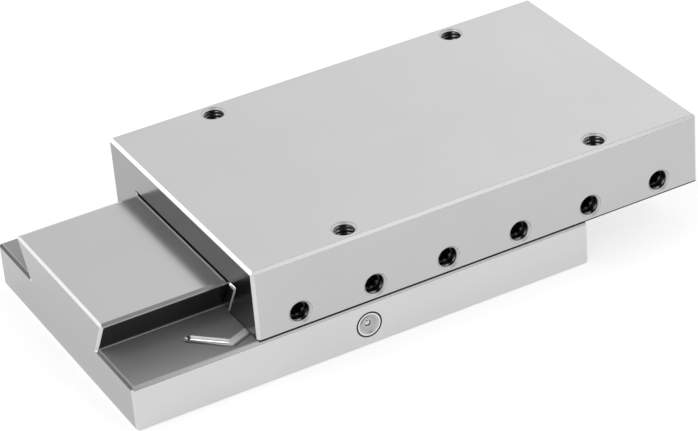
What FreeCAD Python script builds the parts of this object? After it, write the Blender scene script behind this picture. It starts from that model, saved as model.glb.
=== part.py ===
"""Dovetail slide: a ground base with a male dovetail, a saddle that rides on it, a gib and its set screws.

X runs along the travel, Y across it and Z up. The origin is the middle of the base's bottom face. The near
side, with the gib and its screws, is at -Y. The saddle stands part way along its stroke, towards +X.
All sizes are in millimetres and all angles in degrees.
"""
import FreeCAD, Part
import math
import os

from FreeCAD import Vector

# Plates
base_length = 160.0
saddle_length = 160.0
slide_width = 100.0
base_height = 15.5
total_height = 40.0
saddle_offset = 42.3

# Dovetail
root_width = 50.0
dovetail_height = 12.2
flank_angle = 60.0
crest_top_cut = 1.9
crest_drop = 0.45
crest_land = 0.5
channel_relief = 0.4
ceiling_gap = 0.8
mouth_blunt = 1.2

# Broken edges
plate_chamfer = 1.0
saddle_side_foot_chamfer = 0.2
saddle_end_foot_chamfer = 0.7
base_end_chamfer = 0.85
bottom_chamfer = 0.5
channel_edge_chamfer = 0.3

# How far a cut runs past the face it opens
overcut = 1.0

# Running clearances, measured square to the faces
bearing_clearance = 0.05
flank_clearance = 0.05

# Gib
gib_thickness = 4.5
gib_floor_gap = 0.7
gib_ceiling_gap = 1.0
gib_end_inset = 0.3
gib_chamfer = 0.7
gib_edge_break = 0.25
gib_spot_depth = 2.1
gib_spot_clearance = 0.25

# Gib screws
screw_count = 6
screw_end_inset = 15.0
screw_rise = 5.2
screw_radius = 3.95
screw_sunk = 2.8
screw_clearance = 0.05
screw_seat_gap = 0.02
screw_chamfer = 0.6
dog_radius = 2.75
dog_length = 5.5
socket_across_flats = 4.0
socket_depth = 5.0

# Mounting holes, drawn at the thread's major radius
bolt_radius = 4.0
bolt_drill_radius = 3.4
bolt_spacing_x = 90.0
bolt_edge_inset = 6.25
top_bolt_depth = 12.0
base_bolt_depth = 10.0
drill_tip_angle = 118.0

# Oil grooves in the flats
groove_cutter_radius = 2.3
groove_depth = 1.2
groove_end_inset = 26.0
groove_lead = 9.6
groove_outer_inset = 4.55
groove_inner_inset = 14.0
groove_half_waves = 4

# Ball oilers and their passages
oiler_radius = 4.5
oiler_length = 6.5
oiler_height = 7.5
oiler_clearance = 0.03
oiler_rim = 0.4
oiler_dish_depth = 1.0
oiler_dish_floor_radius = 1.7
oiler_mouth_radius = 1.05
oiler_lip = 0.3
oiler_bore_radius = 1.7
oiler_back_wall = 0.6
oiler_back_hole_radius = 0.8
ball_radius = 1.5
ball_seat_gap = 0.02
spring_radius = 1.15
spring_wire_radius = 0.15
spring_turns = 4
spring_steps_per_turn = 10
spring_wire_sides = 4
feed_radius = 1.25
feed_inset = 9.0

# Levels and half widths that follow from the sizes above
half_width = slide_width / 2
half_root = root_width / 2
flank_run = 1 / math.tan(math.radians(flank_angle))
flank_slant = 1 / math.sin(math.radians(flank_angle))
saddle_underside = base_height + bearing_clearance
dovetail_top = base_height + dovetail_height
ceiling = dovetail_top + ceiling_gap
flank_gap = flank_clearance * flank_slant
gib_across = gib_thickness * flank_slant
screw_height = base_height + screw_rise
screw_pitch = (saddle_length - 2 * screw_end_inset) / (screw_count - 1)
bolt_spacing_y = slide_width - 2 * bolt_edge_inset
gib_spot_radius = dog_radius + gib_spot_clearance


def flank_at(height):
    """Distance of the base's flank from the middle plane, at a height above the bottom."""
    return half_root + (height - base_height) * flank_run


gib_inner_gap = flank_gap
gib_outer_gap = gib_inner_gap + gib_across
pocket_gap = gib_outer_gap + flank_gap
gib_spot_y = flank_at(screw_height) + gib_outer_gap - gib_spot_depth
screw_tip_y = gib_spot_y + screw_seat_gap
screw_end_y = half_width - screw_sunk
screw_length = screw_end_y - screw_tip_y
oiler_ball_depth = (
    oiler_dish_depth + oiler_lip + ball_seat_gap + math.sqrt(ball_radius**2 - oiler_mouth_radius**2)
)


def corner_cut(before, corner, after, treatment):
    """The edge that breaks one corner of an outline, and the points where it starts and ends.

    A treatment is None, ("flat", cut before, cut after) or ("round", radius).
    """
    if treatment is None:
        return corner, None, corner
    to_before = (before - corner).normalize()
    to_after = (after - corner).normalize()
    half_angle = to_before.getAngle(to_after) / 2
    if treatment[0] == "flat":
        start = corner + to_before * treatment[1]
        end = corner + to_after * treatment[2]
        return start, Part.makeLine(start, end), end
    radius = treatment[1]
    reach = radius / math.tan(half_angle)
    start = corner + to_before * reach
    end = corner + to_after * reach
    inward = (to_before + to_after).normalize()
    middle = corner + inward * (radius / math.sin(half_angle) - radius)
    return start, Part.Arc(start, middle, end).toShape(), end


def outline(corners, x):
    """A closed wire across the slide at x, from (y, z, treatment) corners in order."""
    points = [Vector(x, y, z) for y, z, _ in corners]
    cuts = []
    for index, (_, _, treatment) in enumerate(corners):
        after = points[(index + 1) % len(points)]
        cuts.append(corner_cut(points[index - 1], points[index], after, treatment))
    edges = []
    for index, (_, breaking_edge, end) in enumerate(cuts):
        if breaking_edge is not None:
            edges.append(breaking_edge)
        edges.append(Part.makeLine(end, cuts[(index + 1) % len(cuts)][0]))
    return Part.Wire(edges)


def bar(corners, x_start, x_end):
    """A straight bar of the given section."""
    return Part.Face(outline(corners, x_start)).extrude(Vector(x_end - x_start, 0, 0))


def end_taper(corners, x_body, x_end, inset):
    """The short tapered end of a bar, from its full section to one set in (or, below zero, set out)."""
    body_wire = outline(corners, x_body)
    end_wire = body_wire.makeOffset2D(-inset, 2, False, False, False)
    end_wire.translate(Vector(x_end - x_body, 0, 0))
    return Part.makeLoft([body_wire, end_wire], True, True)


def chamfered_bar(corners, x_start, x_end, chamfer):
    """A bar with both ends chamfered all round."""
    middle = bar(corners, x_start + chamfer, x_end - chamfer)
    left = end_taper(corners, x_start + chamfer, x_start, chamfer)
    right = end_taper(corners, x_end - chamfer, x_end, chamfer)
    return middle.fuse([left, right]).removeSplitter()


def cut_rectangle(low, high, cut, foot_cut):
    """A rectangle with its corners cut, its lower two by foot_cut, from its lowest and highest corners."""
    (left, bottom), (right, top) = low, high
    return [
        (left, bottom + foot_cut),
        (left + foot_cut, bottom),
        (right - foot_cut, bottom),
        (right, bottom + foot_cut),
        (right, top - cut),
        (right - cut, top),
        (left + cut, top),
        (left, top - cut),
    ]


def prism(points, direction):
    """A solid pushed out from the closed outline through the points."""
    return Part.Face(Part.makePolygon(points + points[:1])).extrude(direction)


def saddle_block(x_start, x_end):
    """The saddle's block with all its edges broken, mitred at the corners, the foot's less than the rest."""
    z_start, z_end = saddle_underside, total_height
    cut = plate_chamfer
    end_view = cut_rectangle((-half_width, z_start), (half_width, z_end), cut, saddle_side_foot_chamfer)
    side_view = cut_rectangle((x_start, z_start), (x_end, z_end), cut, saddle_end_foot_chamfer)
    top_view = cut_rectangle((x_start, -half_width), (x_end, half_width), cut, cut)
    along = prism([Vector(x_start, y, z) for y, z in end_view], Vector(x_end - x_start, 0, 0))
    across = prism([Vector(x, -half_width, z) for x, z in side_view], Vector(0, slide_width, 0))
    upright = prism([Vector(x, y, z_start) for x, y in top_view], Vector(0, 0, z_end - z_start))
    return along.common(across).common(upright)


def turned_about_y(points, x, z):
    """A solid of revolution about a line along Y, from (radius, y) points that start and end on the line."""
    section = [Vector(x + radius, y, z) for radius, y in points]
    face = Part.Face(Part.makePolygon(section + section[:1]))
    return face.revolve(Vector(x, 0, z), Vector(0, 1, 0), 360)


def half_turn(shape):
    """A copy of a shape turned half way round the Z axis, from the near side to the far side."""
    copy = shape.copy()
    copy.rotate(Vector(0, 0, 0), Vector(0, 0, 1), 180)
    return copy


def drill_tip(radius):
    """Length of the cone that a drill leaves at the bottom of a blind hole."""
    return radius / math.tan(math.radians(drill_tip_angle / 2))


def bolt_hole(x, y, mouth_z, depth, inward):
    """The space of one tapped hole: the threaded length and the drill's cone. inward is 1 or -1."""
    direction = Vector(0, 0, inward)
    mouth = Vector(x, y, mouth_z)
    hole = Part.makeCylinder(bolt_radius, depth, mouth, direction)
    bottom = mouth + direction * depth
    cone = Part.makeCone(bolt_drill_radius, 0, drill_tip(bolt_drill_radius), bottom, direction)
    return hole.fuse(cone)


def bolt_holes(x_middle, mouth_z, depth, inward):
    """The four mounting holes of one plate."""
    return [
        bolt_hole(x_middle + side_x * bolt_spacing_x / 2, side_y * bolt_spacing_y / 2, mouth_z, depth, inward)
        for side_x in (-1, 1)
        for side_y in (-1, 1)
    ]


def groove_route():
    """The corners of the zigzag oil groove in the near flat, from end to end."""
    first_kink = -base_length / 2 + groove_end_inset + groove_lead
    half_wave = -2 * first_kink / groove_half_waves
    outer = -half_width + groove_outer_inset
    inner = -half_width + groove_inner_inset
    route = [(first_kink - groove_lead, inner)]
    for index in range(groove_half_waves + 1):
        route.append((first_kink + index * half_wave, outer if index % 2 == 0 else inner))
    route.append((-first_kink + groove_lead, inner))
    return route


def groove_space():
    """The space cut by a ball-nosed cutter along the groove, with the short branch to the feed hole."""
    axis_z = base_height - groove_depth + groove_cutter_radius
    route = groove_route()
    branch = [(0.0, -half_width + groove_outer_inset), (0.0, -half_width + feed_inset)]
    tools = []
    for start, end in list(zip(route, route[1:])) + [tuple(branch)]:
        begin = Vector(start[0], start[1], axis_z)
        run = Vector(end[0], end[1], axis_z) - begin
        tools.append(Part.makeCylinder(groove_cutter_radius, run.Length, begin, run))
    for x, y in route + branch[1:]:
        tools.append(Part.makeSphere(groove_cutter_radius, Vector(x, y, axis_z)))
    return tools


def oil_passage():
    """The oiler's pocket in the near edge, the cross drilling behind it and the feed up to the groove."""
    face = Vector(0, -half_width, oiler_height)
    into = Vector(0, 1, 0)
    pocket = Part.makeCylinder(oiler_radius, oiler_length, face, into)
    cross = Part.makeCylinder(feed_radius, feed_inset + feed_radius, face, into)
    foot = Vector(0, -half_width + feed_inset, oiler_height)
    feed = Part.makeCylinder(feed_radius, base_height - oiler_height, foot, Vector(0, 0, 1))
    return [pocket, cross, feed]


def base_section(broken):
    """Corners of the base's section, from the near bottom corner round by the far side.

    With broken edges the crest has an upright land under its sloped facet.
    """
    bottom = ("flat", bottom_chamfer, bottom_chamfer) if broken else None
    edge = ("flat", plate_chamfer, plate_chamfer) if broken else None
    crest = [(flank_at(dovetail_top), dovetail_top)]
    if broken:
        land_foot = dovetail_top - crest_drop - crest_land
        land = flank_at(land_foot)
        crest = [
            (land, land_foot),
            (land, land_foot + crest_land),
            (flank_at(dovetail_top) - crest_top_cut, dovetail_top),
        ]
    far_side = [(half_width, 0, bottom), (half_width, base_height, edge), (half_root, base_height, None)]
    far_side += [(y, z, None) for y, z in crest]
    near_side = [(-y, z, treatment) for y, z, treatment in reversed(far_side)]
    return far_side + near_side


def make_base():
    """The base: a plate with the dovetail, its oil grooves, oiler pockets and mounting holes."""
    half_length = base_length / 2
    body = chamfered_bar(base_section(False), -half_length, half_length, base_end_chamfer)
    body = body.common(bar(base_section(True), -half_length, half_length))
    near_tools = groove_space() + oil_passage()
    tools = near_tools + [half_turn(tool) for tool in near_tools]
    tools += bolt_holes(0, 0, base_bolt_depth, 1)
    for tool in tools:
        body = body.cut(tool)
    return body


def channel_section():
    """Corners of the saddle's dovetail channel, open at the underside, with room for the gib at -Y."""
    far_foot = flank_at(saddle_underside) + flank_gap
    far_top = flank_at(ceiling) + flank_gap
    near_foot = -(flank_at(saddle_underside) + pocket_gap)
    near_top = -(flank_at(ceiling) + pocket_gap)
    rise = mouth_blunt * math.sin(math.radians(flank_angle))
    run = rise * flank_run
    below = saddle_underside - overcut
    relief = ("round", channel_relief)
    return [
        (near_foot - mouth_blunt, below, None),
        (near_foot - mouth_blunt, saddle_underside, None),
        (near_foot - run, saddle_underside + rise, None),
        (near_top, ceiling, relief),
        (far_top, ceiling, relief),
        (far_foot + run, saddle_underside + rise, None),
        (far_foot + mouth_blunt, saddle_underside, None),
        (far_foot + mouth_blunt, below, None),
    ]


def channel_space(x_start, x_end):
    """The channel along the saddle, with its edges broken where it leaves each end."""
    corners = channel_section()
    middle = bar(corners, x_start - overcut, x_end + overcut)
    left = end_taper(corners, x_start + channel_edge_chamfer, x_start, -channel_edge_chamfer)
    right = end_taper(corners, x_end - channel_edge_chamfer, x_end, -channel_edge_chamfer)
    return [middle, left, right]


def screw_positions():
    """The gib screws' places along X, from the saddle's left end."""
    first = saddle_offset - saddle_length / 2 + screw_end_inset
    return [first + index * screw_pitch for index in range(screw_count)]


def make_saddle():
    """The saddle: a block with the dovetail channel, four top holes and the row of gib screw holes."""
    x_start = saddle_offset - saddle_length / 2
    x_end = saddle_offset + saddle_length / 2
    body = saddle_block(x_start, x_end)
    tools = channel_space(x_start, x_end) + bolt_holes(saddle_offset, total_height, top_bolt_depth, -1)
    hole_end = flank_at(saddle_underside) + flank_gap
    radius = screw_radius + screw_clearance
    for x in screw_positions():
        mouth = Vector(x, -half_width, screw_height)
        tools.append(Part.makeCylinder(radius, half_width - hole_end, mouth, Vector(0, 1, 0)))
    for tool in tools:
        body = body.cut(tool)
    return body


def make_gib():
    """The gib: a slanted bar along the near flank, with a flat-bottomed seat for each screw's point."""
    bottom = saddle_underside + gib_floor_gap
    top = ceiling - gib_ceiling_gap
    corners = [
        (-(flank_at(bottom) + gib_outer_gap), bottom),
        (-(flank_at(bottom) + gib_inner_gap), bottom),
        (-(flank_at(top) + gib_inner_gap), top),
        (-(flank_at(top) + gib_outer_gap), top),
    ]
    x_start = saddle_offset - saddle_length / 2 + gib_end_inset
    x_end = saddle_offset + saddle_length / 2 - gib_end_inset
    body = chamfered_bar([(y, z, None) for y, z in corners], x_start, x_end, gib_chamfer)
    edge = ("flat", gib_edge_break, gib_edge_break)
    body = body.common(bar([(y, z, edge) for y, z in corners], x_start, x_end))
    reach = half_width - gib_spot_y
    for x in screw_positions():
        seat = Part.makeCylinder(
            gib_spot_radius, reach, Vector(x, -half_width, screw_height), Vector(0, 1, 0)
        )
        body = body.cut(seat)
    return body


def make_gib_screw(x):
    """One set screw with a hexagon socket and a dog point, in its hole at x."""
    tip = -screw_tip_y
    end = -screw_end_y
    shoulder = tip - dog_length
    profile = [
        (0, end),
        (screw_radius - screw_chamfer, end),
        (screw_radius, end + screw_chamfer),
        (screw_radius, shoulder),
        (dog_radius, shoulder),
        (dog_radius, tip),
        (0, tip),
    ]
    body = turned_about_y(profile, x, screw_height)
    corner_radius = socket_across_flats / 2 / math.cos(math.pi / 6)
    centre = Vector(x, end, screw_height)
    ring = []
    for index in range(6):
        angle = index * math.pi / 3
        ring.append(centre + Vector(math.cos(angle), 0, math.sin(angle)) * corner_radius)
    return body.cut(prism(ring, Vector(0, socket_depth, 0)))


def make_oiler_body():
    """The near oiler's turned body: a dished face, the ball's seat, the spring's bore and the back wall."""
    radius = oiler_radius - oiler_clearance
    face = -half_width
    back = face + oiler_length - oiler_clearance
    seat = face + oiler_dish_depth
    bore_start = seat + oiler_lip
    bore_end = back - oiler_back_wall
    profile = [
        (oiler_mouth_radius, seat),
        (oiler_dish_floor_radius, seat),
        (radius - oiler_rim, face),
        (radius, face),
        (radius, back),
        (oiler_back_hole_radius, back),
        (oiler_back_hole_radius, bore_end),
        (oiler_bore_radius, bore_end),
        (oiler_bore_radius, bore_start),
        (oiler_mouth_radius, bore_start),
    ]
    return turned_about_y(profile, 0, oiler_height)


def make_oiler_ball():
    """The near oiler's ball, held against its seat."""
    return Part.makeSphere(ball_radius, Vector(0, -half_width + oiler_ball_depth, oiler_height))


def make_oiler_spring():
    """The near oiler's spring, a wire wound between the ball and the oiler's back."""
    touch = ball_radius + spring_wire_radius + ball_seat_gap
    start = oiler_ball_depth + math.sqrt(touch**2 - spring_radius**2) - half_width
    end = oiler_length - oiler_clearance - oiler_back_wall - spring_wire_radius - ball_seat_gap - half_width
    steps = spring_turns * spring_steps_per_turn
    sections = []
    for step in range(steps + 1):
        turn = 2 * math.pi * step / spring_steps_per_turn
        along = start + (end - start) * step / steps
        ring = []
        for side in range(spring_wire_sides):
            angle = 2 * math.pi * side / spring_wire_sides
            radius = spring_radius + spring_wire_radius * math.cos(angle)
            y = along + spring_wire_radius * math.sin(angle)
            ring.append(Vector(radius * math.cos(turn), y, oiler_height + radius * math.sin(turn)))
        sections.append(Part.makePolygon(ring + ring[:1]))
    return Part.makeLoft(sections, True, True)


def save(name, shape):
    """Write one node to its own file."""
    shape.exportStep(os.path.join("parts", name + ".step"))


def main():
    """Build every piece and write it."""
    os.makedirs("parts", exist_ok=True)
    save("base", make_base())
    save("saddle", make_saddle())
    save("gib", make_gib())
    for number, x in enumerate(screw_positions(), start=1):
        save(f"gib_screw_{number}", make_gib_screw(x))
    oiler = {"body": make_oiler_body(), "ball": make_oiler_ball(), "spring": make_oiler_spring()}
    for piece, shape in oiler.items():
        save(f"oiler_{piece}_near", shape)
        save(f"oiler_{piece}_far", half_turn(shape))


main()
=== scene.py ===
"""Dressed model of a dovetail slide: ground steel plates, a gib with its set screws, and two ball oilers.

Everything is in metres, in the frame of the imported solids: X along the travel, Y across it, Z up.
"""
import logging
import math
from dataclasses import dataclass
from enum import Enum
from typing import Callable, ClassVar, Iterable, Sequence

import bmesh
import bpy
from mathutils import Euler, Matrix, Vector


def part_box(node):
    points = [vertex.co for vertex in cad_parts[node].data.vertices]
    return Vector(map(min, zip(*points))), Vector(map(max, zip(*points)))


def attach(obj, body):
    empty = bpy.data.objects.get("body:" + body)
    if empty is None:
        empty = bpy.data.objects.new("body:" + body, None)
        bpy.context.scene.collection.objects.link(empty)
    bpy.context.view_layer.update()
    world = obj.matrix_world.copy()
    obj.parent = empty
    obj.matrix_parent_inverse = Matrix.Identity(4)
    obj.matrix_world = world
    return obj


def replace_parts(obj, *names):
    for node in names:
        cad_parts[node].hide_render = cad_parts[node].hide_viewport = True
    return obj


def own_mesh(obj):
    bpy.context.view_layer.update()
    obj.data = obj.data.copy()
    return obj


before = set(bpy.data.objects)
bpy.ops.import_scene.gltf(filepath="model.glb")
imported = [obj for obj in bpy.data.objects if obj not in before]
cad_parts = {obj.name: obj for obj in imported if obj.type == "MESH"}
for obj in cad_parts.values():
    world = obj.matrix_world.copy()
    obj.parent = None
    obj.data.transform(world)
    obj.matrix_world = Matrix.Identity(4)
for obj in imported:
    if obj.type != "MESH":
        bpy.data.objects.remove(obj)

MM = 0.001

# Width of the photograph in pixels
PHOTO_WIDTH = 698

# Further out than any face of the slide, for a patch that has no end there
FAR = 1.0

# A least cosine that every face passes
ANY_WAY = -1.1

# Faces that look this much along the travel are ends
END_COSINE = 0.8

# Points closer than this are one point
WELD = 0.001 * MM

# Radians that a Wave texture turns in each unit of its scaled length
WAVE_TURN = 20

# Distances between the bolt holes, along the travel and across it
BOLT_SPACING = (90 * MM, 87.5 * MM)

# Sizes of an M8 thread. The solids' holes are plain, at its major radius.
THREAD_PITCH = 1.25 * MM
THREAD_MINOR_RADIUS = 3.35 * MM

log = logging.getLogger("dovetail_slide")

Point = tuple[float, float, float]
Inputs = dict[str | int, object]


class Body(Enum):
    """Bodies of the mechanism that the added pieces ride on."""

    BASE = "base"
    SADDLE = "saddle"


class Slot(Enum):
    """The record's material slots."""

    GROUND_STEEL = "ground_steel"
    GIB_STEEL = "gib_steel"
    SCREW_STEEL = "screw_steel"
    OILER_PLATE = "oiler_plate"
    BALL_STEEL = "ball_steel"
    SPRING_WIRE = "spring_wire"


class Marks(Enum):
    """Direction of the fine marks that a finish leaves."""

    STRAIGHT = "straight strokes along the travel, and across it on the ends"
    TURNED = "rings about an axis along Y"
    NONE = "no direction"


def add_node(
    tree: bpy.types.NodeTree, kind: str, inputs: Inputs | None = None, **settings: object
) -> bpy.types.Node:
    """Add one node with its settings, values and links.

    Args:
        tree: Node tree to add to.
        kind: Blender's name of the node's type.
        inputs: Value or output socket for each input, by the input's name or number.
        **settings: Properties of the node.

    Returns:
        The new node.
    """
    node = tree.nodes.new(kind)
    for name, value in settings.items():
        setattr(node, name, value)
    for key, value in (inputs or {}).items():
        if isinstance(value, bpy.types.Node):
            value = value.outputs[0]
        if isinstance(value, bpy.types.NodeSocket):
            tree.links.new(value, node.inputs[key])
        else:
            node.inputs[key].default_value = value
    return node


def linear(hex_colour: str) -> tuple[float, float, float, float]:
    """Turn an sRGB hex colour into Blender's linear one.

    Args:
        hex_colour: Six hex digits after a hash.

    Returns:
        Linear red, green, blue and an alpha of 1.
    """
    channels = [int(hex_colour[i:i + 2], 16) / 255 for i in (1, 3, 5)]
    red, green, blue = (c / 12.92 if c <= 0.04045 else ((c + 0.055) / 1.055) ** 2.4 for c in channels)
    return red, green, blue, 1.0


@dataclass(frozen=True)
class Patch:
    """Faces of a piece that look one way, and how they differ from the rest.

    They lie between two corners, with X and Y measured either way from the middle planes. A patch
    with both_sides takes the faces that face the other way along X or Y too.
    """

    facing: Point
    least_cosine: float = 0.9
    low: Point = (-FAR, -FAR, -FAR)
    high: Point = (FAR, FAR, FAR)
    both_sides: bool = False
    tone_share: float = 1.0
    roughness: float | None = None
    metallic: float | None = None

    def mask(self, tree: bpy.types.NodeTree, place: bpy.types.NodeSocket) -> bpy.types.NodeSocket:
        """Add the nodes that tell the patch from the rest.

        Args:
            tree: The material's node tree.
            place: Object coordinates.

        Returns:
            Socket that is 1 on the patch and 0 elsewhere.
        """
        normal = add_node(tree, "ShaderNodeNewGeometry").outputs["True Normal"]
        if self.both_sides:
            parts = add_node(tree, "ShaderNodeSeparateXYZ", {0: normal}).outputs
            normal = add_node(tree, "ShaderNodeCombineXYZ", {
                "X": add_node(tree, "ShaderNodeMath", {0: parts["X"]}, operation="ABSOLUTE"),
                "Y": add_node(tree, "ShaderNodeMath", {0: parts["Y"]}, operation="ABSOLUTE"),
                "Z": parts["Z"],
            })
        cosine = add_node(
            tree, "ShaderNodeVectorMath", {0: normal, 1: Vector(self.facing).normalized()},
            operation="DOT_PRODUCT",
        ).outputs["Value"]
        faces = add_node(tree, "ShaderNodeMath", {0: cosine, 1: self.least_cosine}, operation="GREATER_THAN")
        middle = (Vector(self.low) + Vector(self.high)) / 2
        from_planes = add_node(tree, "ShaderNodeVectorMath", {0: place}, operation="ABSOLUTE")
        from_middle = add_node(tree, "ShaderNodeVectorMath", {
            0: add_node(tree, "ShaderNodeVectorMath", {0: from_planes, 1: middle}, operation="SUBTRACT"),
        }, operation="ABSOLUTE")
        outside = add_node(tree, "ShaderNodeSeparateXYZ", {
            0: add_node(tree, "ShaderNodeVectorMath", {
                0: from_middle, 1: Vector(self.high) - middle,
            }, operation="SUBTRACT"),
        }).outputs
        widest = add_node(tree, "ShaderNodeMath", {0: outside["X"], 1: outside["Y"]}, operation="MAXIMUM")
        widest = add_node(tree, "ShaderNodeMath", {0: widest, 1: outside["Z"]}, operation="MAXIMUM")
        inside = add_node(tree, "ShaderNodeMath", {0: widest, 1: 0.0}, operation="LESS_THAN")
        return add_node(tree, "ShaderNodeMath", {0: faces, 1: inside}, operation="MULTIPLY").outputs[0]


@dataclass(frozen=True)
class MetalFinish:
    """One metal surface: its tone, its gloss, and the marks that its making left.

    Real grinding strokes and tool rings are finer than the mark width, which is as coarse as they
    have to be to show.
    """

    name: str
    tone: str
    dark_tone: str
    roughness: float
    roughness_spread: float = 0.06
    marks: Marks = Marks.NONE
    mark_width: float = 0.35 * MM
    mark_length: float = 40 * MM
    mark_height: float = 0.0012 * MM
    cloud_size: float = 30 * MM
    cloud_share: float = 0.5
    edge_round: float = 0.0
    edge_samples: int = 16
    metallic: float = 1.0
    centre: Point = (0, 0, 0)
    patches: tuple[Patch, ...] = ()

    def material(self) -> bpy.types.Material:
        """Build the material.

        Returns:
            The material, or the one already built for this finish.
        """
        known = bpy.data.materials.get(self.name)
        if known:
            return known
        material = bpy.data.materials.new(self.name)
        material.use_nodes = True
        tree = material.node_tree
        tree.nodes.clear()
        place = add_node(tree, "ShaderNodeTexCoord").outputs["Object"]
        marks = self._mark_pattern(tree, place)
        clouds = add_node(
            tree, "ShaderNodeTexNoise", {"Vector": place, "Scale": 1 / self.cloud_size, "Detail": 3.0}
        ).outputs["Fac"]
        blend = add_node(
            tree, "ShaderNodeMix", {"Factor": self.cloud_share, "A": marks, "B": clouds}, data_type="FLOAT"
        )
        # A colour Mix node has its colours at inputs 6 and 7, and its result at output 2
        colour = add_node(
            tree, "ShaderNodeMix", {"Factor": blend, 6: linear(self.dark_tone), 7: linear(self.tone)},
            data_type="RGBA",
        ).outputs[2]
        # The blend lies mostly between 0.3 and 0.7
        roughness = add_node(tree, "ShaderNodeMapRange", {
            "Value": blend,
            "From Min": 0.3,
            "From Max": 0.7,
            "To Min": self.roughness - self.roughness_spread / 2,
            "To Max": self.roughness + self.roughness_spread / 2,
        }).outputs[0]
        metallic = self.metallic
        for patch in self.patches:
            mask = patch.mask(tree, place)
            share = (patch.tone_share, patch.tone_share, patch.tone_share, 1.0)
            colour = add_node(
                tree, "ShaderNodeMix", {"Factor": mask, 6: colour, 7: share},
                data_type="RGBA", blend_type="MULTIPLY",
            ).outputs[2]
            if patch.roughness is not None:
                roughness = add_node(
                    tree, "ShaderNodeMix", {"Factor": mask, "A": roughness, "B": patch.roughness},
                    data_type="FLOAT",
                ).outputs[0]
            if patch.metallic is not None:
                metallic = add_node(
                    tree, "ShaderNodeMix", {"Factor": mask, "A": metallic, "B": patch.metallic},
                    data_type="FLOAT",
                ).outputs[0]
        bump = {"Height": marks, "Distance": self.mark_height, "Strength": 1.0}
        if self.edge_round:
            bump["Normal"] = add_node(
                tree, "ShaderNodeBevel", {"Radius": self.edge_round}, samples=self.edge_samples
            ).outputs["Normal"]
        shader = add_node(tree, "ShaderNodeBsdfPrincipled", {
            "Base Color": colour,
            "Metallic": metallic,
            "Roughness": roughness,
            "Normal": add_node(tree, "ShaderNodeBump", bump),
        })
        add_node(tree, "ShaderNodeOutputMaterial", {"Surface": shader})
        return material

    def _mark_pattern(self, tree: bpy.types.NodeTree, place: bpy.types.NodeSocket) -> bpy.types.NodeSocket:
        """Add the nodes of the fine marks.

        Args:
            tree: The material's node tree.
            place: Object coordinates.

        Returns:
            Socket with the marks' height, from 0 to 1.
        """
        fine = 1 / self.mark_width
        if self.marks is Marks.TURNED:
            about_axis = add_node(
                tree, "ShaderNodeMapping", {"Vector": place, "Location": [-c for c in self.centre]}
            )
            return add_node(tree, "ShaderNodeTexWave", {
                "Vector": about_axis, "Scale": fine / WAVE_TURN, "Distortion": 0.0,
            }, wave_type="RINGS", rings_direction="Y").outputs["Fac"]
        if self.marks is Marks.NONE:
            return add_node(
                tree, "ShaderNodeTexNoise", {"Vector": place, "Scale": fine, "Detail": 4.0}
            ).outputs["Fac"]
        slow = 1 / self.mark_length
        runs = [
            add_node(tree, "ShaderNodeTexNoise", {
                "Vector": add_node(tree, "ShaderNodeMapping", {"Vector": place, "Scale": scale}),
                "Scale": 1.0,
                "Detail": 5.0,
                "Roughness": 0.65,
            }).outputs["Fac"]
            for scale in ((slow, fine, fine), (fine, slow, fine))
        ]
        facing = add_node(tree, "ShaderNodeSeparateXYZ", {
            0: add_node(tree, "ShaderNodeNewGeometry").outputs["True Normal"]
        })
        along_travel = add_node(tree, "ShaderNodeMath", {0: facing.outputs["X"]}, operation="ABSOLUTE")
        on_end = add_node(
            tree, "ShaderNodeMath", {0: along_travel, 1: END_COSINE}, operation="GREATER_THAN"
        )
        return add_node(
            tree, "ShaderNodeMix", {"Factor": on_end, "A": runs[0], "B": runs[1]}, data_type="FLOAT"
        ).outputs[0]


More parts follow.
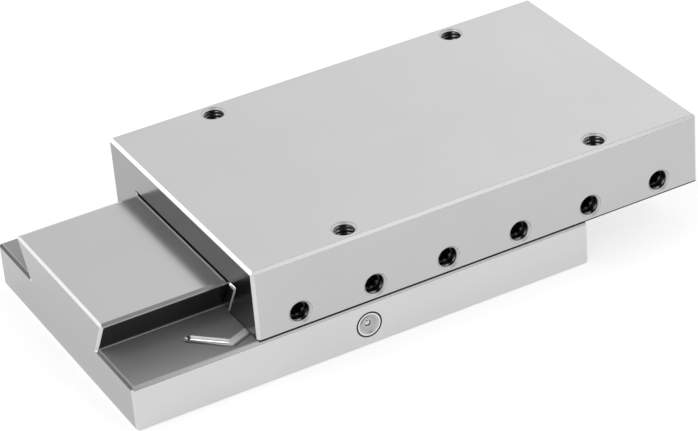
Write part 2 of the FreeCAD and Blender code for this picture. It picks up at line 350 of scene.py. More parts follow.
# Hardened steel, surface ground: pale grey, satin, with straight fine strokes that streak its reflections.
# The flats that the saddle rides on are lapped matt to hold oil, and the grooves are milled. Painted shade
# darkens the ends, flanks and some edges, and painted highlights brighten thin lines along the flats' edges.
BASE_STEEL = MetalFinish(
    "surface_ground_base_steel", tone="#D8D8D8", dark_tone="#C8C8C8", roughness=0.20,
    marks=Marks.STRAIGHT, edge_round=0.12 * MM,
    patches=(
        # The two ends, painted darker as painted shade
        Patch((1, 0, 0), both_sides=True, tone_share=0.62),
        # The dovetail's top
        Patch((0, 0, 1), least_cosine=0.99, low=(-FAR, -FAR, 27 * MM), tone_share=0.92),
        # The flats
        Patch(
            (0, 0, 1), least_cosine=0.99, tone_share=0.62, roughness=0.42, metallic=0.38,
            low=(-FAR, 25 * MM, 15 * MM), high=(FAR, 50 * MM, 16 * MM),
        ),
        # The broken edges along the flats
        Patch(
            (0, 1, 1), least_cosine=0.98, both_sides=True, tone_share=0.55,
            low=(-FAR, 48 * MM, 14 * MM), high=(FAR, 51 * MM, 16 * MM),
        ),
        # The broken edges across the flats' ends, painted near black as painted shade
        Patch(
            (1, 0, 1), least_cosine=0.98, both_sides=True, tone_share=0.15,
            low=(78 * MM, 25 * MM, 14 * MM), high=(81 * MM, 50 * MM, 16 * MM),
        ),
        # The dovetail's flanks, which face down, painted dark as painted shade
        Patch((0, 0.866, -0.5), least_cosine=0.98, both_sides=True, tone_share=0.2),
        # The sloped facets of the dovetail's crests, painted darker as painted shade
        Patch(
            (0, 0.316, 0.949), least_cosine=0.99, both_sides=True, tone_share=0.7,
            low=(-FAR, 28 * MM, 27 * MM), high=(FAR, 33 * MM, 28 * MM),
        ),
        # The broken edges along the foot, which face down, painted darker as painted shade
        Patch(
            (0, 1, -1), least_cosine=0.98, both_sides=True, tone_share=0.7,
            low=(-FAR, 48 * MM, -FAR), high=(FAR, 51 * MM, 1 * MM),
        ),
        # The broken edges across the dovetail's ends
        Patch(
            (1, 0, 1), least_cosine=0.98, both_sides=True, tone_share=0.85,
            low=(78 * MM, -FAR, 26 * MM), high=(81 * MM, FAR, 28 * MM),
        ),
        # The oil grooves
        Patch(
            (0, 0, 1), least_cosine=ANY_WAY, tone_share=0.8, metallic=0.3,
            low=(-44.6 * MM, 28 * MM, 14 * MM), high=(44.6 * MM, 48.4 * MM, 15.47 * MM),
        ),
        # The groove walls that face the near side, painted brighter as a painted highlight
        Patch(
            (0, -0.9, 0.42), least_cosine=0.6, tone_share=1.8, metallic=0.0,
            low=(-44.6 * MM, 28 * MM, 14 * MM), high=(44.6 * MM, 48.4 * MM, 15.47 * MM),
        ),
        # The groove walls across from them, painted dark as painted shade
        Patch(
            (0.1, 0.9, 0.42), least_cosine=0.52, tone_share=0.12, roughness=0.4,
            low=(-FAR, 28 * MM, 14 * MM), high=(FAR, 48.4 * MM, 15.47 * MM),
        ),
        # The bright lines across the flats' ends, a painted highlight
        Patch(
            (0.38, 0, 0.92), both_sides=True, tone_share=2.0, roughness=0.4, metallic=0.0,
            low=(78.9 * MM, 25.3 * MM, 15 * MM), high=(79.3 * MM, 49 * MM, 15.6 * MM),
        ),
        # The bright lines along the flats, a painted highlight
        Patch(
            (0, 0.38, 0.92), both_sides=True, tone_share=1.6, roughness=0.4, metallic=0.0,
            low=(-79.2 * MM, 48.8 * MM, 15 * MM), high=(79.2 * MM, 49.2 * MM, 15.6 * MM),
        ),
        # The bright line along the dovetail's root, a painted highlight with a base colour above 1
        Patch(
            (0, 0, 1), least_cosine=0.99, tone_share=3.2, roughness=0.4, metallic=0.0,
            low=(-79.2 * MM, 24.8 * MM, 15.4 * MM), high=(79.2 * MM, 25.35 * MM, 15.6 * MM),
        ),
    ),
)
# The saddle is ground in the same way and a little darker at its sides; painted shade darkens its ends and
# blackens its foot
SADDLE_STEEL = MetalFinish(
    "surface_ground_saddle_steel", tone="#D8D8D8", dark_tone="#C8C8C8", roughness=0.20,
    marks=Marks.STRAIGHT, edge_round=0.12 * MM,
    patches=(
        # The two ends, painted darker as painted shade
        Patch((1, 0, 0), both_sides=True, tone_share=0.46),
        # The foot of the ends, painted black as painted shade for the gap under them
        Patch(
            (1, 0, 0), both_sides=True, tone_share=0.1, low=(-FAR, -FAR, 15 * MM), high=(FAR, FAR, 16.8 * MM)
        ),
        # The long sides
        Patch((0, 1, 0), both_sides=True, tone_share=0.82),
        # The underside next to the long sides, painted black as painted shade
        Patch((0, 0, -1), tone_share=0.05, low=(-FAR, 44 * MM, 15 * MM), high=(FAR, 51 * MM, 16 * MM)),
        # The foot of the long sides, painted black as painted shade for the gap under them
        Patch(
            (0, 1, 0), least_cosine=0.6, both_sides=True, tone_share=0.03, roughness=0.5,
            low=(-FAR, 49 * MM, 15 * MM), high=(FAR, 51 * MM, 16.1 * MM),
        ),
        # The broken edges along the top
        Patch(
            (0, 1, 1), least_cosine=0.98, both_sides=True, tone_share=0.78,
            low=(-FAR, 48 * MM, 38 * MM), high=(FAR, 51 * MM, 41 * MM),
        ),
    ),
)
# The gib is ground on all faces too, a little paler, with matt corners at its ends
GIB_STEEL = MetalFinish(
    "ground_gib_steel", tone="#E0E0E0", dark_tone="#CCCCCC", roughness=0.20,
    marks=Marks.STRAIGHT, edge_round=0.1 * MM,
    patches=(
        # The two ends
        Patch((1, 0, 0), both_sides=True, tone_share=0.55),
        # The broken edges between the ends and the outer flank
        Patch((0.7, 0.61, -0.35), least_cosine=0.95, both_sides=True, roughness=0.4, metallic=0.0),
    ),
)
# The cone that leads into a tapped hole, cut last: bright and finely torn. The same pale finish is on the
# strips on the gib's ends, a painted highlight.
COUNTERSUNK_STEEL = MetalFinish(
    "countersunk_steel_edge", tone="#F4F4F4", dark_tone="#E4E4E4", roughness=0.35,
    mark_width=0.2 * MM, mark_height=0.0005 * MM, cloud_size=2 * MM, metallic=0.2,
)
# Steel threads as a tap leaves them: finely torn, so darker than the ground faces
TAPPED_STEEL = MetalFinish(
    "tapped_steel_thread", tone="#949494", dark_tone="#626262", roughness=0.20,
    mark_width=0.25 * MM, cloud_size=4 * MM,
)
# Black oxide on a forged and rolled screw: dark, half gloss, and greyer where it has worn
BLACK_OXIDE = MetalFinish(
    "black_oxide_screw_steel", tone="#6A6A6A", dark_tone="#3A3A3A", roughness=0.30,
    roughness_spread=0.14, mark_width=0.3 * MM, cloud_size=2.5 * MM, edge_round=0.08 * MM,
)
# Turned steel with a bright nickel plate: fine rings under a clear gloss
BRIGHT_PLATE = MetalFinish(
    "turned_nickel_plate", tone="#BCBCBC", dark_tone="#A4A4A4", roughness=0.16,
    marks=Marks.TURNED, mark_width=0.35 * MM, mark_height=0.004 * MM, cloud_size=5 * MM,
    centre=(0, 0, 7.5 * MM),
    patches=(
        # The rim, flush with the base's side
        Patch(
            (0, 1, 0), least_cosine=0.99, both_sides=True, tone_share=1.8,
            low=(-FAR, 49.9 * MM, -FAR), high=(FAR, 50.1 * MM, FAR),
        ),
    ),
)
# Painted shade in the seam round the pressed oiler: a near black, half gloss fill
SEAM_SHADE = MetalFinish(
    "painted_shade_in_press_seam", tone="#141414", dark_tone="#0A0A0A", roughness=0.4,
    mark_width=0.3 * MM, mark_height=0.0005 * MM, cloud_size=2 * MM, metallic=0.0,
)
# A bearing ball, lapped to a mirror
POLISHED_BALL = MetalFinish(
    "lapped_bearing_steel", tone="#D2D2D2", dark_tone="#C8C8C8", roughness=0.06,
    roughness_spread=0.02, mark_width=0.4 * MM, mark_height=0.0001 * MM, cloud_size=1.5 * MM,
)
# Drawn spring wire: smooth, grey, half gloss
DRAWN_WIRE = MetalFinish(
    "drawn_spring_wire", tone="#A9A9A9", dark_tone="#8D8D8D", roughness=0.28,
    mark_width=0.2 * MM, mark_height=0.0005 * MM, cloud_size=1 * MM,
)


def keep_mesh(
    name: str, mesh: bpy.types.Mesh, finish: MetalFinish, body: str
) -> bpy.types.Object:
    """Make a mesh a finished piece that rides on a body.

    Args:
        name: The piece's name.
        mesh: Its mesh, in the row frame.
        finish: Its finish.
        body: Name of the body that it moves with.

    Returns:
        The piece.
    """
    mesh.name = name
    mesh.materials.clear()
    mesh.materials.append(finish.material())
    piece = bpy.data.objects.new(name, mesh)
    bpy.context.scene.collection.objects.link(piece)
    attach(piece, body)
    log.info("%s: %d faces, on %s", name, len(mesh.polygons), body)
    return piece


def dress_node(node: str, finish: MetalFinish) -> None:
    """Give a solid that stays as it is its finish.

    Args:
        node: Name of the solid.
        finish: Its finish.
    """
    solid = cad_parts[node]
    solid.data.materials.clear()
    solid.data.materials.append(finish.material())
    log.info("%s: dressed in %s", node, finish.name)


def circle(_: float) -> float:
    """Share of the radius at any angle of a round ring."""
    return 1.0


def hexagon(angle: float) -> float:
    """Share of the corner radius at an angle of a hexagonal ring."""
    sixth = math.pi / 3
    return math.cos(sixth / 2) / math.cos(angle % sixth - sixth / 2)


Ring = tuple[float, float, Callable[[float], float]]


def turned(
    rings: Sequence[Ring], centre: Vector, outward: float, segments: int, smooth_below: float
) -> bpy.types.Mesh:
    """Mesh of rings set one after another about an axis along Y, closed at a ring of no radius.

    Args:
        rings: Radius, distance along the axis and form of each ring.
        centre: Point on the axis from which the distances count.
        outward: 1 or -1, the way along Y in which the distances grow.
        segments: Points in a ring, a multiple of six.
        smooth_below: Edges that bend less than this many degrees are shaded smooth.

    Returns:
        The mesh.
    """
    shape = bmesh.new()
    loops = []
    for radius, along, form in rings:
        if radius == 0:
            loops.append([shape.verts.new(centre + Vector((0, outward * along, 0)))])
            continue
        loop = []
        for index in range(segments):
            angle = 2 * math.pi * index / segments
            reach = radius * form(angle)
            loop.append(shape.verts.new(
                centre + Vector((reach * math.cos(angle), outward * along, reach * math.sin(angle)))
            ))
        loops.append(loop)
    for first, second in zip(loops, loops[1:]):
        for index in range(segments):
            after = (index + 1) % segments
            corners = [first[index % len(first)], first[after % len(first)],
                       second[after % len(second)], second[index % len(second)]]
            shape.faces.new(list(dict.fromkeys(corners)))
    bmesh.ops.recalc_face_normals(shape, faces=shape.faces)
    mesh = bpy.data.meshes.new("turned")
    shape.to_mesh(mesh)
    shape.free()
    mesh.shade_smooth()
    mesh.set_sharp_from_angle(angle=math.radians(smooth_below))
    return mesh


@dataclass(frozen=True)
class HelixTree:
    """A Geometry Nodes tree that winds a ridge on a wall about each of a set of points.

    The ridge is a closed bar. Its foot lies a little inside the wall, and it fades out towards both
    ends. The shares are half its width at the wall and at the crest, over the pitch.
    """

    name: str = "wound_ridge"
    profile_points: int = 6
    foot_share: float = 0.5
    crest_share: float = 0.08

    def build(self) -> bpy.types.NodeTree:
        """Build the tree once.

        Returns:
            The tree, with inputs for the points and the ridge's sizes.
        """
        known = bpy.data.node_groups.get(self.name)
        if known:
            return known
        tree = bpy.data.node_groups.new(self.name, "GeometryNodeTree")
        tree.interface.new_socket("Points", in_out="INPUT", socket_type="NodeSocketGeometry")
        for name in ("Wall Radius", "Ridge Height", "Foot Depth", "Pitch", "Depth", "Fade"):
            tree.interface.new_socket(name, in_out="INPUT", socket_type="NodeSocketFloat")
        tree.interface.new_socket("Steps", in_out="INPUT", socket_type="NodeSocketInt")
        tree.interface.new_socket("Tilt", in_out="INPUT", socket_type="NodeSocketVector")
        tree.interface.new_socket("Material", in_out="INPUT", socket_type="NodeSocketMaterial")
        tree.interface.new_socket("Geometry", in_out="OUTPUT", socket_type="NodeSocketGeometry")
        given = add_node(tree, "NodeGroupInput").outputs

        def maths(operation: str, *values: object) -> bpy.types.NodeSocket:
            """Socket with the result of one operation on numbers or sockets."""
            return add_node(tree, "ShaderNodeMath", dict(enumerate(values)), operation=operation).outputs[0]

        strip = add_node(tree, "GeometryNodeMeshGrid", {
            "Size X": 1.0, "Size Y": 1.0, "Vertices X": given["Steps"], "Vertices Y": self.profile_points + 1,
        })
        place = add_node(tree, "ShaderNodeSeparateXYZ", {0: add_node(tree, "GeometryNodeInputPosition")})
        # The strip reaches from -0.5 to 0.5 both ways, which becomes the way along and round the ridge
        along = maths("ADD", place.outputs["X"], 0.5)
        corner = maths("ROUND", maths("MULTIPLY", maths("ADD", place.outputs["Y"], 0.5), self.profile_points))
        turns = maths("DIVIDE", given["Depth"], given["Pitch"])
        angle = maths("MULTIPLY", along, maths("MULTIPLY", turns, 2 * math.pi))
        # Corners 0 and 5 are the foot, 1 and 4 the wall, 2 and 3 the crest, and 6 is 0 again
        middle = (self.profile_points - 1) / 2
        from_middle = maths("ABSOLUTE", maths("SUBTRACT", corner, middle))
        is_crest = maths("LESS_THAN", from_middle, 1.0)
        is_foot = maths("GREATER_THAN", from_middle, 2.0)
        side = maths("SIGN", maths("SUBTRACT", maths("MODULO", corner, float(self.profile_points)), middle))
        half_share = maths("MULTIPLY_ADD", is_crest, self.crest_share - self.foot_share, self.foot_share)
        from_turn = maths("MULTIPLY", maths("MULTIPLY", side, half_share), given["Pitch"])
        raw_z = maths("MULTIPLY_ADD", along, given["Depth"], from_turn)
        z = maths("MINIMUM", maths("MAXIMUM", raw_z, 0.0), given["Depth"])
        to_end = maths("MINIMUM", z, maths("SUBTRACT", given["Depth"], z))
        fade = maths("MINIMUM", maths("DIVIDE", to_end, given["Fade"]), 1.0)
        crest = maths("MULTIPLY", maths("MULTIPLY", is_crest, given["Ridge Height"]), fade)
        foot = maths("MULTIPLY", is_foot, given["Foot Depth"])
        radius = maths("ADD", given["Wall Radius"], maths("SUBTRACT", crest, foot))
        wound = add_node(tree, "GeometryNodeSetPosition", {
            "Geometry": strip,
            "Position": add_node(tree, "ShaderNodeCombineXYZ", {
                "X": maths("MULTIPLY", radius, maths("COSINE", angle)),
                "Y": maths("MULTIPLY", radius, maths("SINE", angle)),
                "Z": maths("MULTIPLY", z, -1.0),
            }),
        })
        closed = add_node(tree, "GeometryNodeMergeByDistance", {"Geometry": wound, "Distance": 2 * WELD})
        placed = add_node(tree, "GeometryNodeInstanceOnPoints", {
            "Points": given["Points"], "Instance": closed, "Rotation": given["Tilt"],
        })
        plain = add_node(tree, "GeometryNodeRealizeInstances", {0: placed})
        dressed = add_node(
            tree, "GeometryNodeSetMaterial", {"Geometry": plain, "Material": given["Material"]}
        )
        add_node(tree, "NodeGroupOutput", {0: dressed})
        return tree


@dataclass(frozen=True)
class WoundRidge:
    """One ridge, such as a thread, wound alike about one or more points."""

    wall_radius: float
    ridge_height: float
    pitch: float
    depth: float
    fade: float
    foot_depth: float = 0.04 * MM
    steps_per_turn: int = 40

    def mesh(self, points: Iterable[Point], tilt: Point, finish: MetalFinish) -> bpy.types.Mesh:
        """Wind the ridge about the points.

        Args:
            points: Where each ridge starts.
            tilt: Rotation that turns the ridge's way in, down, to its real one.
            finish: Its finish.

        Returns:
            A plain mesh, in the row frame.
        """
        seeds = bpy.data.meshes.new("seeds")
        seeds.from_pydata(list(points), [], [])
        holder = bpy.data.objects.new("holder", seeds)
        bpy.context.scene.collection.objects.link(holder)
        tree = HelixTree().build()
        values = {
            "Wall Radius": self.wall_radius,
            "Ridge Height": self.ridge_height,
            "Foot Depth": self.foot_depth,
            "Pitch": self.pitch,
            "Depth": self.depth,
            "Fade": self.fade,
            "Steps": round(self.depth / self.pitch * self.steps_per_turn) + 1,
            "Tilt": tilt,
            "Material": finish.material(),
        }
        modifier = holder.modifiers.new("wind", "NODES")
        modifier.node_group = tree
        for item in tree.interface.items_tree:
            if item.in_out == "INPUT" and item.name in values:
                modifier[item.identifier] = values[item.name]
        graph = bpy.context.evaluated_depsgraph_get()
        mesh = bpy.data.meshes.new_from_object(holder.evaluated_get(graph))
        holder.modifiers.remove(modifier)
        bpy.data.objects.remove(holder)
        cleaned = bmesh.new()
        cleaned.from_mesh(mesh)
        bmesh.ops.dissolve_degenerate(cleaned, dist=WELD, edges=cleaned.edges)
        bmesh.ops.recalc_face_normals(cleaned, faces=cleaned.faces)
        cleaned.to_mesh(mesh)
        cleaned.free()
        return mesh


@dataclass(frozen=True)
class TappedHoles:
    """The threads in a row or square of tapped M8 holes.

    The wall that they stand on lies just inside the solid's wall, and their foot just behind it.
    """

    name: str
    mouths: tuple[Point, ...]
    depth: float
    tilt: Point
    body: Body
    wall_radius: float = 3.97 * MM
    wall_overlap: float = 0.04 * MM
    thread_fade: float = 0.8 * MM
    lead_in: float = 0.6 * MM
    lead_in_start: float = 0.01 * MM
    lead_in_back: float = 0.1 * MM
    lead_in_points: int = 64

    def build(self) -> bpy.types.Object:
        """Cut the threads as one piece, with the cone that leads into each.

        Returns:
            The piece.
        """
        ridge = WoundRidge(
            wall_radius=self.wall_radius,
            ridge_height=THREAD_MINOR_RADIUS - self.wall_radius,
            foot_depth=-self.wall_overlap,
            pitch=THREAD_PITCH,
            depth=self.depth,
            fade=self.thread_fade,
        )
        mesh = ridge.mesh(self.mouths, self.tilt, TAPPED_STEEL)
        piece = keep_mesh(self.name, mesh, TAPPED_STEEL, self.body.value)
        mesh.materials.append(COUNTERSUNK_STEEL.material())
        joined = bmesh.new()
        joined.from_mesh(mesh)
        for mouth in self.mouths:
            self._add_lead_in(joined, Matrix.Translation(mouth) @ Euler(self.tilt).to_matrix().to_4x4())
        joined.to_mesh(mesh)
        joined.free()
        return piece

    def _add_lead_in(self, shape: bmesh.types.BMesh, place: Matrix) -> None:
        """Add the bright cone round one hole's mouth, as a closed ring of three sides.

        Args:
            shape: Mesh to add to.
            place: The hole's place, with the way in along its -Z.
        """
        section = (
            (self.wall_radius, -self.lead_in_start),
            (self.wall_radius - self.lead_in, -self.lead_in),
            (self.wall_radius, -self.lead_in - self.lead_in_back),
        )
        loops = []
        for radius, depth in section:
            angles = (2 * math.pi * index / self.lead_in_points for index in range(self.lead_in_points))
            loops.append([
                shape.verts.new(place @ Vector((radius * math.cos(a), radius * math.sin(a), depth)))
                for a in angles
            ])
        faces = []
        for first, second in zip(loops, loops[1:] + loops[:1]):
            for index in range(self.lead_in_points):
                after = (index + 1) % self.lead_in_points
                faces.append(shape.faces.new((first[index], first[after], second[after], second[index])))
        for face in faces:
            face.material_index = 1
        bmesh.ops.recalc_face_normals(shape, faces=faces)


def square(centre_x: float, z: float, spacing_x: float, spacing_y: float) -> tuple[Point, ...]:
    """The four mouths of a square of holes.

    Args:
        centre_x: X of the square's middle, which lies on the middle plane.
        z: Height of the face.
        spacing_x: Distance between holes along X.
        spacing_y: Distance between holes along Y.

    Returns:
        The four points.
    """
    return tuple(
        (centre_x + side_x * spacing_x / 2, side_y * spacing_y / 2, z)
        for side_x in (-1, 1)
        for side_y in (-1, 1)
    )


@dataclass
class Base:
    """The fixed plate with its dovetail."""

    hole_depth: float = 10 * MM

    def build(self) -> None:
        """Dress the plate and cut the threads in its underside."""
        dress_node("base", BASE_STEEL)
        low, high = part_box("base")
        TappedHoles(
            "base_hole_threads",
            square((low.x + high.x) / 2, low.z, *BOLT_SPACING),
            self.hole_depth,
            (math.pi, 0, 0),
            Body.BASE,
        ).build()


@dataclass
class Saddle:
    """The moving plate, the gib that it carries, and the threads of its holes."""

    hole_depth: float = 12 * MM
    screw_thread_gap: float = 0.1 * MM

    def build(self) -> None:
        """Dress the plate and the gib, and cut the threads."""
        dress_node("saddle", SADDLE_STEEL)
        dress_node("gib", GIB_STEEL)
        low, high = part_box("saddle")
        TappedHoles(
            "saddle_top_threads",
            square((low.x + high.x) / 2, high.z, *BOLT_SPACING),
            self.hole_depth,
            (0, 0, 0),
            Body.SADDLE,
        ).build()
        mouths = []
        for number in range(1, GibScrew.count + 1):
            screw_low, screw_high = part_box(f"gib_screw_{number}")
            mouths.append(((screw_low.x + screw_high.x) / 2, low.y, (screw_low.z + screw_high.z) / 2))
        # All the screws sit as deep, so the last one gives the depth of the threads before them
        TappedHoles(
            "saddle_side_threads",
            tuple(mouths),
            screw_low.y - low.y - self.screw_thread_gap,
            (math.pi / 2, 0, 0),
            Body.SADDLE,
        ).build()


@dataclass
class GibEnds:
    """Pale strips on both ends of the gib, along its top and down its outer side: a painted highlight of the
    broken edge.
    """

    inset: float = 0.15 * MM
    width: float = 0.8 * MM
    top_reach: float = 4.0 * MM
    thickness: float = 0.03 * MM
    flank_angle: float = 60.0

    def build(self) -> bpy.types.Object:
        """Lay the two angled strips on the gib's end faces.

        Returns:
            The piece.
        """
        low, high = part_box("gib")
        lean = 1 / math.tan(math.radians(self.flank_angle))
        top, foot = high.z - self.inset, low.z + self.inset

        def outer(z: float, inward: float) -> tuple[float, float]:
            """Point at a height, set in from the gib's outer side."""
            return low.y + (high.z - z) * lean + inward, z

        inner_end = low.y + self.top_reach
        section = [
            outer(foot, self.inset), outer(top, self.inset), (inner_end, top), (inner_end, top - self.width),
            outer(top - self.width, self.inset + self.width), outer(foot, self.inset + self.width),
        ]
        shape = bmesh.new()
        for face_x, inside in ((low.x, 1), (high.x, -1)):
            rings = [
                [shape.verts.new((face_x + depth, y, z)) for y, z in section]
                for depth in (-inside * self.thickness, inside * self.thickness)
            ]
            faces = [shape.faces.new(rings[0]), shape.faces.new(reversed(rings[1]))]
            count = len(section)
            for index in range(count):
                after = (index + 1) % count
                faces.append(shape.faces.new(
                    (rings[0][after], rings[0][index], rings[1][index], rings[1][after])
                ))
            bmesh.ops.recalc_face_normals(shape, faces=faces)
        mesh = bpy.data.meshes.new("gib_ends")
        shape.to_mesh(mesh)
        shape.free()
        # The strips are pale so that they show as a painted highlight
        return keep_mesh("gib_end_painted_highlights", mesh, COUNTERSUNK_STEEL, Body.SADDLE.value)


@dataclass
class GibScrew:
    """A set screw with a hexagon socket, a rolled thread and a dog point."""

    count: ClassVar[int] = 6

    number: int
    crest_radius: float = 3.93 * MM
    thread_fade: float = 0.6 * MM
    dog_radius: float = 2.75 * MM
    dog_length: float = 5.5 * MM
    edge_break: float = 0.25 * MM
    socket_flats: float = 4.0 * MM
    socket_depth: float = 5.0 * MM
    socket_tip: float = 1.0 * MM
    socket_mouth: float = 0.15 * MM
    socket_mouth_depth: float = 0.2 * MM
    segments: int = 48
    smooth_below: float = 35.0

    def build(self) -> None:
        """Turn the core with its socket, wind the thread and join them."""
        node = f"gib_screw_{self.number}"
        low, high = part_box(node)
        length = high.y - low.y
        centre = Vector(((low.x + high.x) / 2, low.y, (low.z + high.z) / 2))
        corner = self.socket_flats / 2 / math.cos(math.pi / 6)
        shoulder = length - self.dog_length
        thread_end = shoulder - (self.crest_radius - self.dog_radius) / 2
        core = turned([
            (0, self.socket_depth + self.socket_tip, circle),
            (corner, self.socket_depth, hexagon),
            (corner, corner - self.socket_flats / 2 + self.socket_mouth_depth, hexagon),
            (corner + self.socket_mouth, 0, circle),
            (THREAD_MINOR_RADIUS - self.edge_break, 0, circle),
            (THREAD_MINOR_RADIUS, self.edge_break, circle),
            (THREAD_MINOR_RADIUS, thread_end, circle),
            (self.dog_radius, shoulder, circle),
            (self.dog_radius, length - self.edge_break, circle),
            (self.dog_radius - self.edge_break, length, circle),
            (0, length, circle),
        ], centre, 1, self.segments, self.smooth_below)
        ridge = WoundRidge(
            wall_radius=THREAD_MINOR_RADIUS,
            ridge_height=self.crest_radius - THREAD_MINOR_RADIUS,
            pitch=THREAD_PITCH,
            depth=thread_end - self.edge_break,
            fade=self.thread_fade,
        )
        start = tuple(centre + Vector((0, self.edge_break, 0)))
        thread = ridge.mesh([start], (math.pi / 2, 0, 0), BLACK_OXIDE)
        joined = bmesh.new()
        joined.from_mesh(core)
        joined.from_mesh(thread)
        joined.to_mesh(core)
        joined.free()
        bpy.data.meshes.remove(thread)
        piece = keep_mesh(f"set_screw_{self.number}", core, BLACK_OXIDE, node)
        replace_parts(piece, node)


class Side(Enum):
    """The two long edges of the base, with the way in from each."""

    NEAR = 1
    FAR = -1


@dataclass
class Oiler:
    """A ball oiler pressed into one long edge of the base: body, ball and spring."""

    side: Side
    seam_width: float = 0.55 * MM
    seam_depth: float = 0.5 * MM
    shade_depth_inside: float = 0.12 * MM
    shade_depth_outside: float = 0.08 * MM
    back_break: float = 0.25 * MM
    rim_width: float = 0.25 * MM
    # Distance in from the rim and depth of the points that round it into the dish
    rim_round: tuple[tuple[float, float], ...] = ((0.65 * MM, 0.12 * MM), (0.4 * MM, 0.02 * MM))
    dish_depth: float = 1.0 * MM
    dish_floor_radius: float = 1.75 * MM
    dish_round: float = 0.3 * MM
    dish_round_height: float = 0.04 * MM
    mouth_radius: float = 1.07 * MM
    mouth_break: float = 0.05 * MM
    lip: float = 0.3 * MM
    bore_radius: float = 1.7 * MM
    back_wall: float = 0.6 * MM
    back_hole_radius: float = 0.8 * MM
    wire_radius: float = 0.15 * MM
    wire_resolution: int = 3
    coil_radius: float = 1.15 * MM
    coils: float = 4.5
    points_per_coil: int = 24
    segments: int = 72
    smooth_below: float = 28.0
    ball_rings: int = 24
    squeezed_share: float = 0.62

    def build(self) -> None:
        """Turn the body, set the ball and wind the spring."""
        side = self.side.name.lower()
        low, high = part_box(f"oiler_body_{side}")
        inward = self.side.value
        face = low.y if inward > 0 else high.y
        length = high.y - low.y
        radius = (high.x - low.x) / 2
        centre = Vector(((low.x + high.x) / 2, face, (low.z + high.z) / 2))
        rim = radius - self.seam_width
        rings = [
            (self.mouth_radius, self.dish_depth + self.lip),
            (self.mouth_radius, self.dish_depth + self.mouth_break),
            (self.mouth_radius + self.mouth_break, self.dish_depth),
            (self.dish_floor_radius, self.dish_depth),
            (self.dish_floor_radius + self.dish_round, self.dish_depth - self.dish_round_height),
            *((rim - inside, depth) for inside, depth in self.rim_round),
            (rim - self.rim_width, 0),
            (rim, 0),
            (rim, self.seam_depth),
            (radius, self.seam_depth),
            (radius, length - self.back_break),
            (radius - self.back_break, length),
            (self.back_hole_radius, length),
            (self.back_hole_radius, length - self.back_wall),
            (self.bore_radius, length - self.back_wall),
            (self.bore_radius, self.dish_depth + self.lip),
            (self.mouth_radius, self.dish_depth + self.lip),
        ]
        body = self._closed_ring(rings, centre, inward)
        shell = keep_mesh(f"oiler_{side}_shell", body, BRIGHT_PLATE, Body.BASE.value)
        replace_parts(shell, f"oiler_body_{side}")
        # A near black ring set in the seam, painted shade
        seam = self._closed_ring([
            (rim, self.shade_depth_inside),
            (radius, self.shade_depth_outside),
            (radius, self.seam_depth),
            (rim, self.seam_depth),
            (rim, self.shade_depth_inside),
        ], centre, inward)
        keep_mesh(f"oiler_{side}_seam", seam, SEAM_SHADE, Body.BASE.value)
        self._ball(side, inward)
        self._spring(side, centre, inward)

    def _closed_ring(
        self, section: Sequence[tuple[float, float]], centre: Vector, inward: int
    ) -> bpy.types.Mesh:
        """Turn a section that ends where it starts.

        Args:
            section: Radius and depth of each corner, the first one twice.
            centre: Middle of the oiler's face.
            inward: 1 or -1, the way in along Y.

        Returns:
            The mesh.
        """
        rings = [(radius, depth, circle) for radius, depth in section]
        mesh = turned(rings, centre, inward, self.segments, self.smooth_below)
        merged = bmesh.new()
        merged.from_mesh(mesh)
        bmesh.ops.remove_doubles(merged, verts=merged.verts, dist=WELD)
        bmesh.ops.recalc_face_normals(merged, faces=merged.faces)
        merged.to_mesh(mesh)
        merged.free()
        return mesh

    def _ball(self, side: str, inward: int) -> None:
        """Set the ball where its solid is.

        Args:
            side: The oiler's side, for the names.
            inward: 1 or -1, the way in along Y.
        """
        node = f"oiler_ball_{side}"
        low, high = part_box(node)
        radius = (high.y - low.y) / 2
        rings = []
        for index in range(self.ball_rings + 1):
            angle = math.pi * index / self.ball_rings
            reach = radius * math.sin(angle) if 0 < index < self.ball_rings else 0
            rings.append((reach, -radius * math.cos(angle), circle))
        mesh = turned(rings, (low + high) / 2, inward, self.segments, smooth_below=180)
        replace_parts(keep_mesh(f"oiler_{side}_ball", mesh, POLISHED_BALL, node), node)

    def _spring(self, side: str, centre: Vector, inward: int) -> None:
        """Wind the spring where its solid is.

        Args:
            side: The oiler's side, for the names.
            centre: Middle of the oiler's face.
            inward: 1 or -1, the way in along Y.
        """
        node = f"oiler_spring_{side}"
        low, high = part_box(node)
        front, back = (low.y, high.y) if inward > 0 else (high.y, low.y)
        length = high.y - low.y - 2 * self.wire_radius
        path = bpy.data.curves.new("wire", "CURVE")
        path.dimensions = "3D"
        path.bevel_depth = self.wire_radius
        path.bevel_resolution = self.wire_resolution
        path.use_fill_caps = True
        count = round(self.coils * self.points_per_coil)
        line = path.splines.new("POLY")
        line.points.add(count)
        for index, point in enumerate(line.points):
            share = index / count
            angle = 2 * math.pi * self.coils * share
            y = front + inward * (self.wire_radius + length * share)
            x = centre.x + self.coil_radius * math.cos(angle)
            z = centre.z + self.coil_radius * math.sin(angle)
            point.co = (x, y, z, 1)
        holder = bpy.data.objects.new("wire", path)
        bpy.context.scene.collection.objects.link(holder)
        mesh = bpy.data.meshes.new_from_object(holder.evaluated_get(bpy.context.evaluated_depsgraph_get()))
        bpy.data.objects.remove(holder)
        mesh.shade_smooth()
        spring = keep_mesh(f"oiler_{side}_coil", mesh, DRAWN_WIRE, Body.BASE.value)
        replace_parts(spring, node)
        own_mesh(spring)


@dataclass(frozen=True)
class SoftBox:
    """A square lamp turned to the middle of the slide's foot."""

    name: str
    place: Point
    size: float
    radiance: float

    def build(self) -> None:
        """Hang the lamp."""
        data = bpy.data.lights.new(self.name, "AREA")
        data.size = self.size
        data.energy = self.radiance * math.pi * self.size**2
        lamp = bpy.data.objects.new(self.name, data)
        lamp.location = self.place
        lamp.rotation_euler = (-Vector(self.place)).to_track_quat("-Z", "Y").to_euler()
        bpy.context.scene.collection.objects.link(lamp)


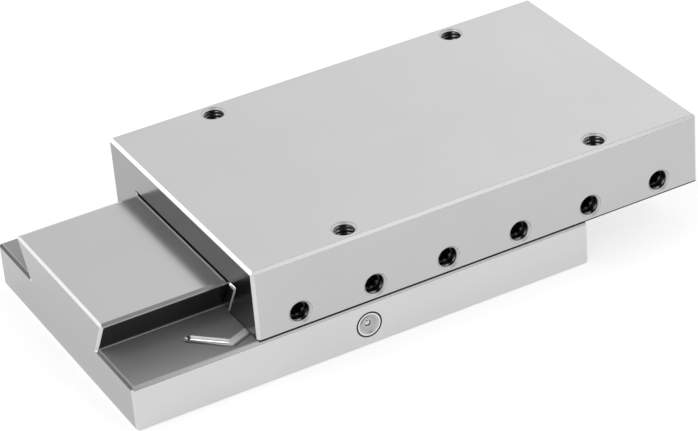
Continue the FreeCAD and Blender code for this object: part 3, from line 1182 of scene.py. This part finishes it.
@dataclass
class Studio:
    """Floor, lamps, surroundings and camera.

    The camera's angles are in degrees. The ambient level is the light from all round, which the
    reflections don't show, and the floor's glow shows only to the camera and in reflections.
    """

    camera_place: Point = (-0.332563, -0.706965, 0.495616)
    azimuth: float = 26.591
    elevation: float = 31.347
    roll: float = 4.952
    focal_pixels: float = 2879.102
    sensor_width: float = 36.0
    nearest_seen: float = 0.01
    floor_size: float = 6.0
    floor_glow: float = 0.56
    ambient: float = 0.55
    lamps: tuple[SoftBox, ...] = (
        SoftBox("front_softbox", (0.53, -0.73, 1.06), size=0.5, radiance=1.6),
        SoftBox("left_strip", (-0.78, 1.15, 0.57), size=0.35, radiance=1.6),
        SoftBox("top_softbox", (-0.52, 0.11, 1.19), size=0.35, radiance=3.0),
    )

    def build(self) -> None:
        """Set everything up."""
        self._camera()
        self._floor()
        self._surroundings()
        for lamp in self.lamps:
            lamp.build()

    def _camera(self) -> None:
        """Place the camera that was worked out from the photograph."""
        azimuth, elevation, roll = (math.radians(a) for a in (self.azimuth, self.elevation, self.roll))
        forward = Vector((
            math.sin(azimuth) * math.cos(elevation),
            math.cos(azimuth) * math.cos(elevation),
            -math.sin(elevation),
        ))
        right = Vector((math.cos(azimuth), -math.sin(azimuth), 0))
        down = forward.cross(right)
        image_right = math.cos(roll) * right + math.sin(roll) * down
        image_down = -math.sin(roll) * right + math.cos(roll) * down
        turn = Matrix((image_right, -image_down, -forward)).transposed()
        data = bpy.data.cameras.new("camera")
        data.sensor_width = self.sensor_width
        data.lens = data.sensor_width * self.focal_pixels / PHOTO_WIDTH
        data.clip_start = self.nearest_seen
        camera = bpy.data.objects.new("camera", data)
        camera.matrix_world = Matrix.Translation(self.camera_place) @ turn.to_4x4()
        bpy.context.scene.collection.objects.link(camera)
        bpy.context.scene.camera = camera

    def _floor(self) -> None:
        """Lay a white floor that keeps the slide's shadow and shows white in reflections too."""
        half = self.floor_size / 2
        mesh = bpy.data.meshes.new("floor")
        corners = [(-half, -half, 0), (half, -half, 0), (half, half, 0), (-half, half, 0)]
        mesh.from_pydata(corners, [], [(0, 1, 2, 3)])
        material = bpy.data.materials.new("matt_white_paper")
        material.use_nodes = True
        tree = material.node_tree
        tree.nodes.clear()
        seen = self._seen(tree)
        paper = add_node(tree, "ShaderNodeBsdfDiffuse", {"Color": linear("#E8E8E8")})
        strength = add_node(tree, "ShaderNodeMath", {0: seen, 1: self.floor_glow}, operation="MULTIPLY")
        glow = add_node(tree, "ShaderNodeEmission", {"Color": (1, 1, 1, 1), "Strength": strength})
        surface = add_node(tree, "ShaderNodeAddShader", {0: paper, 1: glow})
        add_node(tree, "ShaderNodeOutputMaterial", {"Surface": surface})
        mesh.materials.append(material)
        floor = bpy.data.objects.new("floor", mesh)
        bpy.context.scene.collection.objects.link(floor)

    @staticmethod
    def _seen(tree: bpy.types.NodeTree) -> bpy.types.NodeSocket:
        """Socket that is 1 for rays from the camera, and for reflected and transmitted ones.

        Args:
            tree: Node tree to add to.

        Returns:
            The socket.
        """
        path = add_node(tree, "ShaderNodeLightPath").outputs
        both = add_node(
            tree, "ShaderNodeMath", {0: path["Is Camera Ray"], 1: path["Is Glossy Ray"]}, operation="MAXIMUM"
        )
        return add_node(
            tree, "ShaderNodeMath", {0: both, 1: path["Is Transmission Ray"]}, operation="MAXIMUM"
        ).outputs[0]

    def _surroundings(self) -> None:
        """Build the room that shows in reflections, and the even light from all round.

        It is bright low down all round and at both sides, its far wall is brighter to the right, and
        it is dark overhead and high behind the camera.
        """
        world = bpy.data.worlds.new("studio")
        world.use_nodes = True
        bpy.context.scene.world = world
        tree = world.node_tree
        tree.nodes.clear()
        way = add_node(tree, "ShaderNodeSeparateXYZ", {
            0: add_node(tree, "ShaderNodeTexCoord").outputs["Generated"],
        })
        wall = add_node(tree, "ShaderNodeMapRange", {
            "Value": way.outputs["X"], "From Min": -0.4, "From Max": 0.5, "To Min": 0.3, "To Max": 1.05,
        })
        far = add_node(tree, "ShaderNodeMapRange", {
            "Value": way.outputs["Y"], "From Min": 0.0, "From Max": 0.55, "To Min": 0.03, "To Max": wall,
        }, interpolation_type="SMOOTHSTEP")
        horizon = add_node(tree, "ShaderNodeMapRange", {
            "Value": way.outputs["Z"], "From Min": 0.2, "From Max": 0.42, "To Min": 1.0, "To Max": 0.0,
        }, interpolation_type="SMOOTHSTEP")
        aside = add_node(tree, "ShaderNodeMapRange", {
            "Value": add_node(tree, "ShaderNodeMath", {0: way.outputs["X"]}, operation="ABSOLUTE"),
            "From Min": 0.48, "From Max": 0.62, "To Min": 0.0, "To Max": 1.0,
        }, interpolation_type="SMOOTHSTEP")
        room = add_node(tree, "ShaderNodeMath", {
            0: add_node(tree, "ShaderNodeMath", {0: far, 1: horizon}, operation="MAXIMUM"), 1: aside,
        }, operation="MAXIMUM")
        seen = self._seen(tree)
        level = add_node(
            tree, "ShaderNodeMix", {"Factor": seen, "A": self.ambient, "B": room}, data_type="FLOAT"
        )
        shade = add_node(tree, "ShaderNodeEmission", {"Color": (1, 1, 1, 1), "Strength": level})
        add_node(tree, "ShaderNodeOutputWorld", {"Surface": shade})


def main() -> None:
    """Build the slide and the studio around it."""
    logging.basicConfig(level=logging.INFO, format="%(message)s")
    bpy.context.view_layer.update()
    Base().build()
    Saddle().build()
    GibEnds().build()
    for number in range(1, GibScrew.count + 1):
        GibScrew(number).build()
    for side in Side:
        Oiler(side).build()
    Studio().build()
    bpy.context.scene.view_settings.view_transform = "Standard"


if __name__ == "__main__":
    main()
